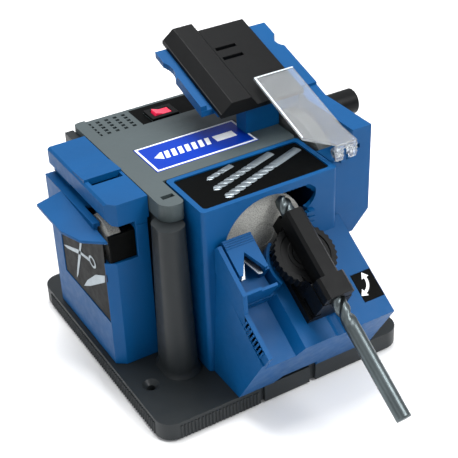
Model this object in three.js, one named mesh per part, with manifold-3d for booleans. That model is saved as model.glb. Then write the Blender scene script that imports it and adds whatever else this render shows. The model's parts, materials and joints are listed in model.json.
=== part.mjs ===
// Multi-purpose sharpening station: one motor drives three grinding wheels.
// Front: drill sharpener with a swinging drill holder. Left: knife and scissors unit.
// Right: chisel and plane-iron unit. Millimetres, X to the right, Y to the back, Z up.
// The pieces are laid out from the centre of the base plate's underside, and the whole group
// is moved at the end so that its origin is the bottom centre of its bounding box.

import * as THREE from 'three';
import { mergeVertices } from 'three/addons/utils/BufferGeometryUtils.js';
import Module from 'manifold-3d';

const wasm = await Module();
wasm.setup();

// ---------------------------------------------------------------- driving dimensions

const GAP = 0.3; // clearance between pieces that touch
const ROUND = 28; // sides of a round piece

const BASE = { width: 190, depth: 195, height: 13.5, corner: 12, wall: 3 };
const MOUNT_HOLE = { x: 81.4, y: 54.6, bore: 5.5, head: 12, sink: 3 };
const FOOT = { radius: 8, proud: 1.5, height: 4.5, stem: 3, inset: 12 };
const COVER = { width: 140, depth: 140, thickness: 1.5 };

const TOP = 140; // height of the flat top of the station
const HOUSING = { left: -57, right: 58, front: -17.5, back: 85, wall: 2.5, seam: TOP - 12 };
const SHELL = { overhang: 2, wall: 2.5, corner: 4, nose: { right: -43.5, front: -48 } };
const REAR_STRIP = { front: 58, left: -50, depth: 1.2 };
const VENT = { x: -49, y: 63, count: 5, pitchX: 6.6, pitchY: 4.6, size: 2.8 };
const COLUMN = { x: -56, y: -46.5, halfX: 11.5, halfY: 15.5, corner: 11, topHalfX: 9.5, topHalfY: 11 };
const REAR_POST = { width: 9, depth: 16, corner: 3.5, height: TOP - 4.5 };

const LABEL = { left: -41, right: 37, front: -6, back: 29, thickness: 0.5 };
const SWITCH = { x: 1, y: 67.5, length: 21, width: 15.5, lip: 2.2, tilt: 9, over: 2.8 };

const AXIS = { x: 5.5, z: 103 }; // the motor's axis runs along Y
const CROSS_Y = -6; // the side spindles' common axis runs along X here
const MOTOR = { radius: 23, wall: 1.5, front: 22, back: 72, shaft: 3 };
const SWITCH_BODY = TOP - REAR_STRIP.depth - AXIS.z - MOTOR.radius - SWITCH.over;
const BEARING = { outer: 8.5, width: 6 };
const BEVEL = { near: 7, far: 13, teeth: 12, hub: 4 };
const SPINDLE_RADIUS = 4;

const DRILL_WHEEL = { radius: 31, thickness: 6, face: -58.5 };
const KNIFE_WHEEL = { radius: 18, thickness: 8, outer: -85 };
const CHISEL_WHEEL = { radius: 47, thickness: 10, outer: 74.5 };

const KNIFE = { left: -91.5, right: -61, front: -27.5, back: 66.5, wall: 3, chamfer: 6.5 };
const KNIFE_CAP = {
  left: -87.5, right: -59.5, bottom: TOP - 16, tuck: 3, bevel: 1.5, slotFront: 3, slotBack: 9,
};
const KNIFE_PAD = { back: 27, rise: 1.8, left: -86.5 };
const KNIFE_SLIT = { bottom: KNIFE_CAP.bottom - 3.5, back: 40, opening: { right: -69.5, bottom: 97 } };
const KNIFE_PANEL = { front: -22, back: 51, bottom: 48.5, top: 111, sunk: 2, thickness: 1.2 };
const WING = {
  outer: -109.6, back: 40, bend: 1, tip: -14.6, tipX: -102.8, thickness: 2.2, fall: 0.25, dip: 0.2,
};

const DRILL = { left: -42, right: 59.5, front: -66, back: -18, wall: 3, rim: 3.6, rimDepth: 2 };
const OPENING = { front: 33.5, back: 32, depth: 4 };
const SWING = 20; // degrees that the drill holder turns to each side
const SWEEP = { clearance: 3, overrun: 5 }; // room left around the drill's tip, and degrees past the swing
const RAMP = { angle: 33, top: 93.7, length: 68.2, right: 66, left: -39, lean: 5, toe: -98 };
const TROUGH = { left: -32, right: -4, draft: 4.7, start: 28.3, depth: 8 };
const STATION = { wall: 3, high: 20.5, highEnd: 27.8, dropEnd: 36, low: 9, right: -8, table: 16.7 };
const GRIP = { first: 40, pitch: 3.1, count: 8, width: 1.3, proud: 0.8 };
const FENCE = { inner: 21.5, thickness: 2, height: 11, from: 128, to: 207 };
const GAUGE = { left: -30.5, right: -9.5, start: -10.5, end: 15, thickness: 3.4, notch: 8, apex: 1 };
const ARROW_PANEL = { left: 50, right: 65.5, start: 35.3, end: 55.4, sunk: 0.8, thickness: 0.5 };

const HOLDER = { x: 18, pivot: 16, half: 13, plate: 6, table: 12.8, rear: -13, front: 54 };
const HAND_WHEEL = { radius: 21.3, bore: 9.3, bottom: 13.4, top: 21, lobes: 32, lobe: 0.9 };
const BIT = { radius: 5, tip: -24.8, length: 161.7, point: 59 };
const BIT_HEIGHT = HAND_WHEEL.top + 0.5 + BIT.radius; // of the drill's axis above the ramp
const BAR = {
  half: BIT.radius + 1.5, top: BIT_HEIGHT + 9.5, rear: -9.5, end: 38.7,
  blockLeft: 10.5, blockRight: 10, block: 15, chamfer: 2,
};

const CHISEL = { left: 61.5, right: 92, front: -58, back: 60, bottom: 93, skirt: 79, table: TOP - 1.5 };
const CHEEK = { thickness: 15, top: TOP + 18, bend: -6 };
const BED = { slope: 0.315, height: TOP + 22, left: 2, front: 5, back: 72, thickness: 4 };
const WEB = { left: 34, back: 18, postLeft: 60, postBack: 48 };
const RAIL = { left: 2, width: 4.5, front: 9.5, back: 41, height: 3.2 };
const CARRIAGE = { left: 10.5, right: 76.5, front: -2, back: 77, thickness: 3, ridge: 7 };
const GUARD = {
  left: 45, right: 76.5, back: 12, bend: -46, front: -61.5, wall: 1.6, rise: TOP + 35, slope: 0.345,
};
const GUARD_PIN = { y: -57, z: TOP + 5, radius: 1.6 };
const GUARD_EDGE = GUARD_PIN.z - 3; // lower edge of the guard's front
const GUARD_RELIEF = 7.4; // radius swept by the guard's lower edge as it lifts
const ANGLE_KNOB = { y: -9, z: TOP + 9, radius: 9, length: 20 };

// ---------------------------------------------------------------- materials

const plastic = (color, roughness = 0.5) => new THREE.MeshStandardMaterial({ color, roughness, metalness: 0 });
const metal = (color, roughness = 0.35) => new THREE.MeshStandardMaterial({ color, roughness, metalness: 1 });

const BLUE = plastic(0x145fae, 0.45);
const GREY = plastic(0x5c6c70, 0.6);
const DARK_GREY = plastic(0x2e383d, 0.55);
const BLACK = plastic(0x1b2122, 0.5);
const RUBBER = plastic(0x101010, 0.9);
const STEEL = metal(0x9aa3a8);
const DRILL_STEEL = metal(0x4f6a74, 0.3);
const COPPER = metal(0xb87333, 0.4);
const ABRASIVE = plastic(0xc4c4bf, 0.9);
const LABEL_BLUE = plastic(0x0040b4, 0.35);
const SWITCH_RED = plastic(0xff3660, 0.25);
const CLEAR = new THREE.MeshStandardMaterial({
  color: 0xdfe9ec,
  roughness: 0.1,
  transparent: true,
  opacity: 0.4,
});

// ---------------------------------------------------------------- solids

// A closed three.js geometry as a solid that can be joined and cut.
function solid(geometry, matrix) {
  const bare = (geometry.index ? geometry : mergeVertices(geometry)).clone();
  bare.deleteAttribute('normal');
  bare.deleteAttribute('uv');
  if (matrix) bare.applyMatrix4(matrix);
  const merged = mergeVertices(bare, 1e-4);
  const index = merged.index.array;
  const triangles = [];
  for (let i = 0; i < index.length; i += 3) {
    const [a, b, c] = [index[i], index[i + 1], index[i + 2]];
    if (a !== b && b !== c && a !== c) triangles.push(a, b, c);
  }
  const vertProperties = Float32Array.from(merged.attributes.position.array);
  return new wasm.Manifold(
    new wasm.Mesh({ numProp: 3, vertProperties, triVerts: Uint32Array.from(triangles) }),
  );
}

// A solid as a three.js geometry.
function surface(body) {
  const mesh = body.getMesh();
  const geometry = new THREE.BufferGeometry();
  geometry.setAttribute('position', new THREE.BufferAttribute(Float32Array.from(mesh.vertProperties), 3));
  geometry.setIndex(new THREE.BufferAttribute(Uint32Array.from(mesh.triVerts), 1));
  geometry.computeVertexNormals();
  return geometry;
}

const join = (first, ...rest) => rest.reduce((sum, body) => sum.add(body), first);
const cut = (first, ...rest) => rest.reduce((left, body) => left.subtract(body), first);

// Moves every vertex of a geometry by a rule.
function bend(geometry, rule) {
  const position = geometry.attributes.position;
  const point = new THREE.Vector3();
  for (let i = 0; i < position.count; i += 1) {
    point.fromBufferAttribute(position, i);
    rule(point);
    position.setXYZ(i, point.x, point.y, point.z);
  }
  return geometry;
}

// Local axes of a profile drawn in a plane and extruded along the third axis.
const ALONG_X = new THREE.Matrix4().makeBasis(
  new THREE.Vector3(0, 1, 0),
  new THREE.Vector3(0, 0, 1),
  new THREE.Vector3(1, 0, 0),
);
const ALONG_Y = new THREE.Matrix4().makeBasis(
  new THREE.Vector3(1, 0, 0),
  new THREE.Vector3(0, 0, 1),
  new THREE.Vector3(0, -1, 0),
);

const polygon = (points) => new THREE.Shape(points.map(([a, b]) => new THREE.Vector2(a, b)));
const extruded = (shape, depth, segments = 6) =>
  new THREE.ExtrudeGeometry(shape, { depth, bevelEnabled: false, curveSegments: segments });

function prismZ(shape, z0, z1, segments) {
  return solid(extruded(shape, z1 - z0, segments), new THREE.Matrix4().makeTranslation(0, 0, z0));
}

// The profile's points are (y, z).
function prismX(points, x0, x1) {
  const place = new THREE.Matrix4().makeTranslation(x0, 0, 0).multiply(ALONG_X);
  return solid(extruded(polygon(points), x1 - x0), place);
}

// The profile's points are (x, z).
function prismY(points, y0, y1) {
  const place = new THREE.Matrix4().makeTranslation(0, y1, 0).multiply(ALONG_Y);
  return solid(extruded(polygon(points), y1 - y0), place);
}

function block(x0, x1, y0, y1, z0, z1) {
  const place = new THREE.Matrix4().makeTranslation((x0 + x1) / 2, (y0 + y1) / 2, (z0 + z1) / 2);
  return solid(new THREE.BoxGeometry(x1 - x0, y1 - y0, z1 - z0), place);
}

function roundedRect(x0, x1, y0, y1, radius) {
  const shape = new THREE.Shape();
  shape.moveTo(x0 + radius, y0);
  shape.lineTo(x1 - radius, y0);
  shape.absarc(x1 - radius, y0 + radius, radius, -Math.PI / 2, 0);
  shape.lineTo(x1, y1 - radius);
  shape.absarc(x1 - radius, y1 - radius, radius, 0, Math.PI / 2);
  shape.lineTo(x0 + radius, y1);
  shape.absarc(x0 + radius, y1 - radius, radius, Math.PI / 2, Math.PI);
  shape.lineTo(x0, y0 + radius);
  shape.absarc(x0 + radius, y0 + radius, radius, Math.PI, Math.PI * 1.5);
  return shape;
}

// Turns the cylinder's own Y axis to the axis wanted.
const TURN = {
  x: new THREE.Matrix4().makeRotationZ(-Math.PI / 2),
  y: new THREE.Matrix4(),
  z: new THREE.Matrix4().makeRotationX(Math.PI / 2),
};

// A round bar or cone from a to b along an axis; u and v are its centre on the other two axes.
function round(axis, a, b, u, v, radiusA, radiusB = radiusA, sides = ROUND) {
  const middle = (a + b) / 2;
  const centre = { x: [middle, u, v], y: [u, middle, v], z: [u, v, middle] }[axis];
  const geometry = new THREE.CylinderGeometry(radiusB, radiusA, b - a, sides);
  return solid(geometry, new THREE.Matrix4().makeTranslation(...centre).multiply(TURN[axis]));
}

const ring = (axis, a, b, u, v, outer, inner, sides = ROUND) =>
  cut(round(axis, a, b, u, v, outer, outer, sides), round(axis, a - 1, b + 1, u, v, inner, inner, sides));

// A toothed outline of a given tip radius.
function toothed(radius, teeth, depth) {
  const shape = new THREE.Shape();
  const step = (Math.PI * 2) / teeth;
  for (let i = 0; i < teeth; i += 1) {
    const corners = [[0, radius - depth], [0.3, radius], [0.55, radius], [0.85, radius - depth]];
    corners.forEach(([share, r], k) => {
      const angle = (i + share) * step;
      const go = i === 0 && k === 0 ? 'moveTo' : 'lineTo';
      shape[go](r * Math.cos(angle), r * Math.sin(angle));
    });
  }
  return shape;
}

const root = new THREE.Group();

function add(name, body, material, parent = root) {
  const mesh = new THREE.Mesh(surface(body), material);
  mesh.name = name;
  parent.add(mesh);
  return mesh;
}

// ---------------------------------------------------------------- base

function mountHoles(z0, z1, radius) {
  const { x, y } = MOUNT_HOLE;
  return [[-x, -y], [x, -y], [-x, y], [x, y]].map(([u, v]) => round('z', z0, z1, u, v, radius, radius, 16));
}

function buildBase() {
  const halfX = BASE.width / 2;
  const halfY = BASE.depth / 2;
  const under = BASE.height - BASE.wall;
  const inner = BASE.corner - BASE.wall;
  const inside = roundedRect(
    -halfX + BASE.wall, halfX - BASE.wall, -halfY + BASE.wall, halfY - BASE.wall, inner);
  let plate = cut(
    prismZ(roundedRect(-halfX, halfX, -halfY, halfY, BASE.corner), 0, BASE.height, 4),
    prismZ(inside, -1, under, 4),
  );
  const footX = halfX - FOOT.inset;
  const footY = halfY - FOOT.inset;
  const corners = [['fl', -footX, -footY], ['fr', footX, -footY], ['rl', -footX, footY], ['rr', footX, footY]];
  const seat = FOOT.height - FOOT.proud;
  for (const [, x, y] of corners) {
    plate = join(plate, round('z', seat + GAP, under + 0.5, x, y, FOOT.radius, FOOT.radius, 16));
    plate = cut(plate, round('z', 0, under - 1, x, y, FOOT.stem + GAP, FOOT.stem + GAP, 12));
  }
  plate = join(plate, ...mountHoles(0, under + 0.5, 8));
  plate = cut(plate, ...mountHoles(-1, BASE.height + 1, MOUNT_HOLE.bore / 2));
  for (const [u, v] of [[-1, -1], [1, -1], [-1, 1], [1, 1]]) {
    const sink = round('z', BASE.height - MOUNT_HOLE.sink, BASE.height + 0.01,
      u * MOUNT_HOLE.x, v * MOUNT_HOLE.y, MOUNT_HOLE.bore / 2, MOUNT_HOLE.head / 2, 16);
    plate = cut(plate, sink);
  }
  const coverX = COVER.width / 2;
  const coverY = COVER.depth / 2;
  const coverTop = COVER.thickness + 0.5;
  for (const [x, y] of [[-1, -1], [1, -1], [-1, 1], [1, 1]]) {
    const post = round('z', coverTop + GAP, under + 0.5, x * (coverX - 8), y * (coverY - 8), 4, 4, 12);
    plate = join(plate, post);
  }
  for (const [x0, x1] of [[-22, -19], [17, 21.7]]) {
    plate = cut(plate, block(x0, x1, -halfY - 1, -halfY + 2.2, -1, BASE.height + 1));
  }
  add('base_plate', plate, DARK_GREY);
  const cover = prismZ(roundedRect(-coverX, coverX, -coverY, coverY, 6), 0.5, coverTop, 3);
  add('bottom_cover', cover, STEEL);
  for (const [name, x, y] of corners) {
    const pad = join(
      round('z', -FOOT.proud, seat, x, y, FOOT.radius - 1, FOOT.radius, 16),
      round('z', seat - 0.5, seat + 4, x, y, FOOT.stem, FOOT.stem, 12),
    );
    add(`foot_${name}`, pad, RUBBER);
  }
}

// ---------------------------------------------------------------- housing

// A column that narrows from its foot to its top.
function column() {
  const z0 = BASE.height + GAP;
  const z1 = HOUSING.seam - GAP;
  const { x, y, halfX, halfY, corner, topHalfX, topHalfY } = COLUMN;
  const tapered = (low, high, growLow, growHigh) => {
    const geometry = extruded(roundedRect(-halfX, halfX, -halfY, halfY, corner), high - low, 9);
    return solid(bend(geometry, (p) => {
      const t = p.z / (high - low);
      const grow = growLow + (growHigh - growLow) * t;
      const rise = (p.z + low - z0) / (z1 - z0);
      const scaleX = 1 + (topHalfX / halfX - 1) * rise + grow / halfX;
      const scaleY = 1 + (topHalfY / halfY - 1) * rise + grow / halfY;
      p.set(x + p.x * scaleX, y + p.y * scaleY, p.z + low);
    }));
  };
  const foot = 4.5;
  return join(tapered(z0, z1, 0, 0), tapered(z0, z0 + foot, 2.1, 0));
}

function buildLowerHousing() {
  const { left, right, front, back, wall, seam } = HOUSING;
  const z0 = BASE.height + GAP;
  const z1 = seam - GAP;
  let body = block(left, right, front, back, z0, z1);
  const webRight = COLUMN.x + COLUMN.halfX - 2.5;
  body = join(body, column(), block(left, webRight, COLUMN.y + 8, front + 0.5, z0, z1));
  for (const side of [-1, 1]) {
    const wallX = side < 0 ? left : right;
    const outer = wallX + side * REAR_POST.width;
    const shellEdge = wallX + side * (SHELL.overhang + GAP);
    const x0 = Math.min(wallX - side, outer);
    const x1 = Math.max(wallX - side, outer);
    const post = roundedRect(x0, x1, back - REAR_POST.depth, back + 2, 0.9);
    const upper = roundedRect(Math.min(shellEdge, outer), Math.max(shellEdge, outer),
      back - REAR_POST.depth, back + 2, 0.9);
    body = join(body, prismZ(post, z0, z1, 3), prismZ(upper, z1 - 1, REAR_POST.height, 3));
  }
  body = cut(body, block(left + wall, right - wall, front + wall, back - wall, z0 + wall, z1 + 1));
  const seat = BEARING.outer + GAP;
  body = cut(
    body,
    round('x', left - 1, left + wall + 1, CROSS_Y, AXIS.z, seat),
    round('x', right - wall - 1, right + 1, CROSS_Y, AXIS.z, seat),
    round('y', front - 1, front + wall + 1, AXIS.x, AXIS.z, 19),
  );
  add('lower_housing', body, DARK_GREY);
}

// The plan of the upper shell, drawn a given distance inside its edge.
function shellPlan(inset) {
  const over = SHELL.overhang;
  const x0 = HOUSING.left - over + inset;
  const x1 = HOUSING.right + over - inset;
  const y1 = HOUSING.back + over - inset;
  const y0 = HOUSING.front + inset;
  const nose = SHELL.nose;
  const r = Math.max(SHELL.corner - inset, 0.8);
  const shape = new THREE.Shape();
  const noseLeft = 9 - inset;
  shape.moveTo(x0 + noseLeft, nose.front + inset);
  shape.lineTo(nose.right - inset - r, nose.front + inset);
  shape.absarc(nose.right - inset - r, nose.front + inset + r, r, -Math.PI / 2, 0);
  shape.lineTo(nose.right - inset, y0);
  shape.lineTo(x1 - r, y0);
  shape.absarc(x1 - r, y0 + r, r, -Math.PI / 2, 0);
  shape.lineTo(x1, y1 - r);
  shape.absarc(x1 - r, y1 - r, r, 0, Math.PI / 2);
  shape.lineTo(x0 + r, y1);
  shape.absarc(x0 + r, y1 - r, r, Math.PI / 2, Math.PI);
  shape.lineTo(x0, nose.front + inset + noseLeft);
  shape.absarc(x0 + noseLeft, nose.front + inset + noseLeft, noseLeft, Math.PI, Math.PI * 1.5);
  return shape;
}

function buildUpperHousing() {
  const bottom = HOUSING.seam;
  let shell = cut(
    prismZ(shellPlan(0), bottom, TOP, 4),
    prismZ(shellPlan(SHELL.wall), bottom - 1, TOP - SHELL.wall, 4),
  );
  const right = HOUSING.right + SHELL.overhang;
  const back = HOUSING.back + SHELL.overhang;
  const stripTop = TOP - REAR_STRIP.depth;
  shell = cut(shell, block(REAR_STRIP.left, right + 1, REAR_STRIP.front, back + 1, stripTop, TOP + 1));
  for (let i = 0; i < VENT.count; i += 1) {
    for (let j = 0; j < VENT.count; j += 1) {
      const x = VENT.x + i * VENT.pitchX;
      const y = VENT.y + j * VENT.pitchY;
      const half = VENT.size / 2;
      shell = cut(shell, block(x - half, x + half, y - half, y + half, bottom, TOP + 1));
    }
  }
  const slot = block(SWITCH.x - SWITCH.length / 2 + 2, SWITCH.x + SWITCH.length / 2 - 2,
    SWITCH.y - SWITCH.width / 2 + 2, SWITCH.y + SWITCH.width / 2 - 2, bottom, TOP + 1);
  const { left, right: labelRight, front, back: labelBack, thickness } = LABEL;
  const labelSeat = block(left - GAP, labelRight + GAP, front - GAP, labelBack + GAP,
    TOP - thickness - GAP, TOP + 1);
  const noseSlot = block(-54, -45.5, -38, -34, bottom, TOP + 1);
  shell = cut(shell, slot, labelSeat, noseSlot);
  add('upper_housing', shell, GREY);
  add('label_plate', block(left, labelRight, front, labelBack, TOP - thickness, TOP), LABEL_BLUE);
}

function buildSwitch() {
  const stripTop = TOP - REAR_STRIP.depth;
  const { x, y, length, width, lip, tilt } = SWITCH;
  const body = SWITCH_BODY;
  const halfX = length / 2;
  const halfY = width / 2;
  const inX = halfX - 2 - GAP;
  const inY = halfY - 2 - GAP;
  const wall = 1.2;
  let frame = join(
    block(x - halfX, x + halfX, y - halfY, y + halfY, stripTop + GAP, stripTop + lip),
    block(x - inX, x + inX, y - inY, y + inY, stripTop - body, stripTop + 1),
  );
  frame = cut(frame, block(x - inX + wall, x + inX - wall, y - inY + wall, y + inY - wall,
    stripTop - body + wall, TOP + 5));
  add('switch_frame', frame, BLACK);
  const half = inX - wall - 0.75;
  const rise = half * Math.tan(THREE.MathUtils.degToRad(tilt));
  const profile = [[-half, -3], [half, -3], [half, rise + 1.2], [0, 1.2], [-half, rise + 1.2]];
  const rocker = prismY(profile, -inY + wall + GAP, inY - wall - GAP);
  const mesh = add('switch_rocker', rocker, SWITCH_RED);
  mesh.position.set(x, y, stripTop + 0.8);
  mesh.rotation.y = THREE.MathUtils.degToRad(tilt);
}

// ---------------------------------------------------------------- drive

// A bevel gear on the axis x, y or z; sign says on which side of the crossing it sits.
function bevelGear(sign, bore) {
  const { near, far, teeth, hub } = BEVEL;
  const depth = far - near;
  const geometry = extruded(toothed(far - GAP, teeth, 1.4), depth, 1);
  bend(geometry, (p) => {
    const scale = (near + p.z - GAP) / (far - GAP);
    p.set(p.x * scale, p.y * scale, p.z + near);
  });
  const gear = cut(
    join(solid(geometry), round('z', far - 0.5, far + hub, 0, 0, 8, 8, 20)),
    round('z', near - 1, far + hub + 1, 0, 0, bore, bore, 20),
  );
  return sign > 0 ? gear : gear.rotate([0, 180, 0]);
}

function bearing(axis, a, b, u, v, bore) {
  return ring(axis, a, b, u, v, BEARING.outer, bore + GAP, 24);
}

function buildMotor() {
  const { x, z } = AXIS;
  const { radius, wall, front, back, shaft } = MOTOR;
  const seat = BEARING.outer + GAP;
  const can = cut(
    round('y', front, back, x, z, radius),
    round('y', front + 2.5, back + 1, x, z, radius - wall),
    round('y', front - 1, front + 4, x, z, seat),
  );
  add('motor_can', can, STEEL);
  const bell = cut(
    join(
      round('y', back + GAP, back + 3, x, z, radius),
      round('y', back + 2, back + BEARING.width + 1, x, z, seat + 2),
    ),
    round('y', back - 1, back + BEARING.width + 2, x, z, seat),
  );
  add('motor_end_bell', bell, BLACK);
  const stator = ring('y', front + 10, back - 14, x, z, radius - wall - GAP, 14.6);
  add('motor_stator', stator, DARK_GREY);
  const reach = DRILL_WHEEL.face + DRILL_WHEEL.thickness + 1;
  add('motor_shaft', round('y', DRILL_WHEEL.face + 2, back + 8, x, z, shaft, shaft, 20), STEEL);
  add('rotor_core', ring('y', front + 11, back - 15, x, z, 14, shaft + GAP), STEEL);
  add('commutator', ring('y', back - 13, back - 5, x, z, 7, shaft + GAP, 20), COPPER);
  const fanShape = toothed(19, 8, 11);
  const fanPlace = new THREE.Matrix4().makeTranslation(x, front + 8.5, z).multiply(ALONG_Y);
  const fan = cut(solid(extruded(fanShape, 4.5), fanPlace),
    round('y', front, front + 12, x, z, shaft + GAP, shaft + GAP, 20));
  add('cooling_fan', fan, BLACK);
  add('front_bearing', bearing('y', front - 3, front + 3, x, z, shaft), STEEL);
  add('rear_bearing', bearing('y', back + 0.8, back + 6.5, x, z, shaft), STEEL);
  const floor = BASE.height + GAP + HOUSING.wall + GAP;
  const cradle = cut(
    block(x - 17, x + 17, front + 6, back - 6, floor, z - 8),
    round('y', front, back, x, z, radius + GAP),
    block(x - 12, x + 12, front, back, floor + 3, z - radius - 5),
  );
  add('motor_cradle', cradle, BLACK);
  const hub = cut(
    join(
      round('y', reach + GAP, reach + 4, x, z, 16, 16, 24),
      round('y', reach + 3, reach + 16, x, z, 7, 7, 20),
    ),
    round('y', reach - 1, reach + 20, x, z, shaft + GAP, shaft + GAP, 20),
  );
  add('drill_wheel_hub', hub, BLACK);
  const wheel = cut(
    round('y', DRILL_WHEEL.face, DRILL_WHEEL.face + DRILL_WHEEL.thickness, x, z, DRILL_WHEEL.radius,
      DRILL_WHEEL.radius, 40),
    round('y', DRILL_WHEEL.face + 1.5, DRILL_WHEEL.face + 12, x, z, shaft + GAP, shaft + GAP, 20),
    round('y', DRILL_WHEEL.face - 1, DRILL_WHEEL.face + 0.8, x, z, 9, 9, 24),
  );
  add('drill_wheel', wheel, ABRASIVE);
}

function hexNut(a, b) {
  const bore = SPINDLE_RADIUS + GAP;
  return cut(
    round('x', a, b, CROSS_Y, AXIS.z, 7, 7, 6),
    round('x', a - 1, b + 1, CROSS_Y, AXIS.z, bore, bore, 20),
  );
}

function buildSpindles() {
  const { x, z } = AXIS;
  const place = (mesh, axis, sign) => {
    mesh.position.set(x, CROSS_Y, z);
    if (axis === 'y') mesh.rotation.x = -Math.PI / 2;
    else mesh.rotation.y = (sign * Math.PI) / 2;
  };
  place(add('motor_bevel_gear', bevelGear(1, MOTOR.shaft + GAP), STEEL), 'y', 1);
  place(add('left_bevel_gear', bevelGear(1, SPINDLE_RADIUS + GAP), STEEL), 'x', -1);
  place(add('right_bevel_gear', bevelGear(1, SPINDLE_RADIUS + GAP), STEEL), 'x', 1);

  const knifeInner = KNIFE_WHEEL.outer + KNIFE_WHEEL.thickness;
  const leftEnd = KNIFE_WHEEL.outer - 3.5;
  const leftShaft = join(
    round('x', leftEnd, x - BEVEL.near, CROSS_Y, z, SPINDLE_RADIUS, SPINDLE_RADIUS, 20),
    round('x', knifeInner + GAP, knifeInner + 3, CROSS_Y, z, 9, 9, 20),
  );
  add('left_spindle', leftShaft, STEEL);
  add('knife_wheel', ring('x', KNIFE_WHEEL.outer, knifeInner, CROSS_Y, z, KNIFE_WHEEL.radius,
    SPINDLE_RADIUS + GAP, 36), ABRASIVE);
  add('knife_wheel_nut', hexNut(KNIFE_WHEEL.outer - 3.3, KNIFE_WHEEL.outer - GAP), STEEL);
  const leftWall = HOUSING.left;
  add('left_bearing', bearing('x', leftWall - 1, leftWall + 5, CROSS_Y, z, SPINDLE_RADIUS), STEEL);

  const chiselInner = CHISEL_WHEEL.outer - CHISEL_WHEEL.thickness;
  const rightShaft = join(
    round('x', x + BEVEL.near, CHISEL_WHEEL.outer + 4, CROSS_Y, z, SPINDLE_RADIUS, SPINDLE_RADIUS, 20),
    round('x', chiselInner - 2.2, chiselInner - GAP, CROSS_Y, z, 11, 11, 20),
  );
  add('right_spindle', rightShaft, STEEL);
  add('chisel_wheel', ring('x', chiselInner, CHISEL_WHEEL.outer, CROSS_Y, z, CHISEL_WHEEL.radius,
    SPINDLE_RADIUS + GAP, 40), ABRASIVE);
  add('chisel_wheel_nut', hexNut(CHISEL_WHEEL.outer + GAP, CHISEL_WHEEL.outer + 3.6), STEEL);
  const rightWall = HOUSING.right;
  add('right_bearing', bearing('x', rightWall - 5, rightWall + 1, CROSS_Y, z, SPINDLE_RADIUS), STEEL);
}

// ---------------------------------------------------------------- knife and scissors unit

function knifePlan(inset) {
  const { left, right, front, back, chamfer } = KNIFE;
  return polygon([
    [left + inset, back - inset],
    [left + inset, front + chamfer * 0.75 + inset * 0.4],
    [left + chamfer + inset * 0.4, front + inset],
    [right - inset, front + inset],
    [right - inset, back - inset],
  ].reverse());
}

function buildKnifeUnit() {
  const { left, right, front, back, wall } = KNIFE;
  const z0 = BASE.height + GAP;
  const slit = KNIFE_SLIT.bottom;
  const capBottom = KNIFE_CAP.bottom;
  let body = prismZ(knifePlan(0), z0, slit, 2);
  body = cut(body, block(left + wall, right + 1, front + wall, back - wall, z0 + wall, slit - wall));
  const open = KNIFE_SLIT.opening;
  body = cut(
    body,
    block(left - 1, open.right, front - 1, front + 17, open.bottom, slit + 1),
    block(left - 1, left + KNIFE_PANEL.sunk, KNIFE_PANEL.front, KNIFE_PANEL.back,
      KNIFE_PANEL.bottom, KNIFE_PANEL.top),
    block(left + 5, left + 17, CROSS_Y - 19, CROSS_Y + 19, slit - wall - 1, slit + 1),
  );
  const wingPlan = polygon([
    [left + 2, WING.back],
    [WING.outer, WING.back],
    [WING.outer, WING.bend],
    [WING.tipX, WING.tip],
    [left + 2, front + 1],
  ]);
  const wing = extruded(wingPlan, WING.thickness, 1);
  bend(wing, (p) => {
    const fallFront = Math.min(0, p.y - WING.bend) * -WING.dip;
    p.z += slit - WING.thickness - fallFront + Math.min(0, p.x - left) * WING.fall;
  });
  body = join(body, solid(wing));
  add('knife_unit_body', body, BLUE);

  const { left: capLeft, right: capRight, tuck, bevel } = KNIFE_CAP;
  const capProfile = [
    [capLeft + tuck, capBottom], [capRight, capBottom], [capRight, TOP], [capLeft + bevel, TOP],
    [capLeft, TOP - bevel], [capLeft, capBottom + 4],
  ];
  let cap = prismY(capProfile, front, back);
  const nose = polygon([[capLeft - 1, front - 1], [capLeft + 7, front - 1], [capLeft - 1, front + 7]]);
  cap = cut(
    cap,
    prismZ(nose, capBottom - 1, TOP + 1, 1),
    block(capLeft + tuck + wall, capRight - wall, front + wall, back - wall, capBottom - 1, TOP - wall),
    block(capLeft + 4, capRight - 2, KNIFE_CAP.slotFront, KNIFE_CAP.slotBack, capBottom, TOP + 1),
  );
  const pad = prismX([
    [KNIFE_CAP.slotBack, TOP - wall], [KNIFE_PAD.back, TOP - wall], [KNIFE_PAD.back, TOP + 0.4],
    [KNIFE_CAP.slotBack, TOP + KNIFE_PAD.rise],
  ], KNIFE_PAD.left, capRight);
  const legs = join(
    block(right - wall, right, front, back, slit + GAP, capBottom + 1),
    block(capLeft + tuck, right, KNIFE_SLIT.back, back, slit + GAP, capBottom + 1),
  );
  const frontLeg = block(open.right, right, front, front + 12, slit + GAP, capBottom + 1);
  cap = join(cap, pad, legs, frontLeg);
  add('knife_unit_cap', cap, BLUE);

  const insert = cut(
    block(left + wall + GAP, open.right - GAP, front + 1.5, CROSS_Y - KNIFE_WHEEL.radius + 0.7,
      open.bottom + GAP, slit - wall - GAP),
    round('x', left, right, CROSS_Y, AXIS.z, KNIFE_WHEEL.radius + 1),
  );
  add('knife_guide_insert', insert, BLACK);
  add('knife_panel', block(left + KNIFE_PANEL.sunk - GAP - KNIFE_PANEL.thickness,
    left + KNIFE_PANEL.sunk - GAP, KNIFE_PANEL.front + GAP, KNIFE_PANEL.back - GAP,
    KNIFE_PANEL.bottom + GAP, KNIFE_PANEL.top - GAP), BLACK);
}

// ---------------------------------------------------------------- drill unit

// The ramp's own frame: x across, -y down the slope, z square to it, from the ramp's top edge.
const rampFrame = new THREE.Matrix4()
  .makeTranslation(0, DRILL.front, RAMP.top)
  .multiply(new THREE.Matrix4().makeRotationX(THREE.MathUtils.degToRad(RAMP.angle)));

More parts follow.
